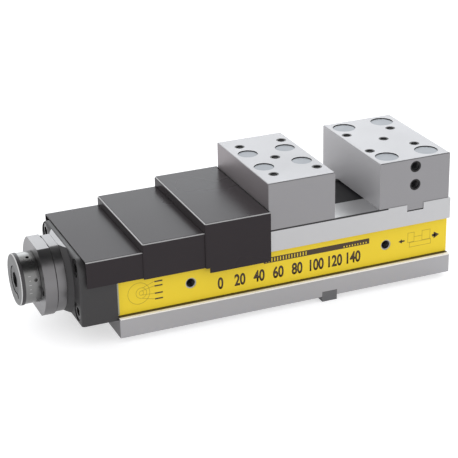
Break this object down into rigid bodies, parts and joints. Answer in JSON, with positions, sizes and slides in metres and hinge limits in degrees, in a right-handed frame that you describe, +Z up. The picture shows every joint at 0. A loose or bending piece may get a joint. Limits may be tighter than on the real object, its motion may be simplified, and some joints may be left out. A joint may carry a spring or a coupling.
{
  "type": "machine vise",
  "caption": "Power machine vise with flat ground jaws, a bed with curved rails, telescoping covers and a spindle with a force booster at one end.",
  "frame": {"origin": "on the bed's bottom face, under the fixed jaw's gripping face, on the mid-plane", "axes": "+X along the bed towards the fixed jaw, +Y across the bed away from the labelled side, +Z up"},
  "size_m": [0.4286, 0.1356, 0.1323],
  "materials": {
    "jaw_steel": "ground satin steel with chamfered edges",
    "bed_steel": "ground and machined casting, light grey",
    "label": "yellow printed plate",
    "cover_sheet": "dark satin sheet steel",
    "housing_paint": "black painted casting",
    "booster_steel": "satin turned steel",
    "dial_steel": "turned steel with darker ends",
    "hub_steel": "dark turned steel",
    "black_plate": "matte black plate",
    "screw_steel": "black oxide",
    "plug_steel": "satin plug",
    "bright_steel": "ground steel",
    "bronze": "turned bronze"
  },
  "bodies": {
    "frame": {"bed": "bed_steel", "side_label": "label", "locating_keys": "bright_steel", "locating_key_screws": "screw_steel", "fixed_jaw": "jaw_steel", "fixed_jaw_bolts": "screw_steel", "fixed_jaw_plugs": "plug_steel", "fixed_cover": "cover_sheet", "fixed_cover_screws": "screw_steel", "end_housing": "housing_paint", "housing_bolts": "screw_steel", "thrust_washers": "bright_steel", "roller_cage": "bright_steel", "booster_body": "booster_steel", "booster_bush": "bronze", "booster_flange": "booster_steel", "flange_screws": "screw_steel", "disc_springs": "bright_steel", "tail_bush": "bronze", "tail_plug": "plug_steel"},
    "jaw_carriage": {"moving_jaw": "jaw_steel", "moving_jaw_bolts": "screw_steel", "moving_jaw_plugs": "plug_steel", "jaw_slide": "bright_steel", "lead_nut": "bronze", "nut_screws": "screw_steel", "chip_plate": "black_plate", "chip_plate_screws": "screw_steel", "jaw_cover": "cover_sheet", "jaw_cover_screws": "screw_steel"},
    "cover_middle": {"middle_cover": "cover_sheet"},
    "drive": {"spindle": "bright_steel", "drive_pin": "bright_steel", "drive_hub": "hub_steel"},
    "dial": {"force_dial": "dial_steel", "dial_cap": "hub_steel"}
  },
  "joints": [
    {"name": "jaw_travel", "type": "slide", "parent": "frame", "child": "jaw_carriage", "axis": [1, 0, 0], "range_m": [-0.088, 0.048]},
    {"name": "cover_travel", "type": "slide", "parent": "frame", "child": "cover_middle", "axis": [1, 0, 0], "range_m": [-0.0494, 0.027]},
    {"name": "spindle_turn", "type": "hinge", "parent": "frame", "child": "drive", "pos_m": [-0.34, 0, 0.049], "axis": [1, 0, 0], "range_deg": [-5285, 2885]},
    {"name": "dial_turn", "type": "hinge", "parent": "drive", "child": "dial", "pos_m": [-0.34, 0, 0.049], "axis": [1, 0, 0], "range_deg": [0, 90]}
  ],
  "couplings": [
    {"joint": "cover_travel", "follows": "jaw_travel", "ratio": 0.56},
    {"joint": "spindle_turn", "follows": "jaw_travel", "rad_per_m": 1047.2}
  ]
}
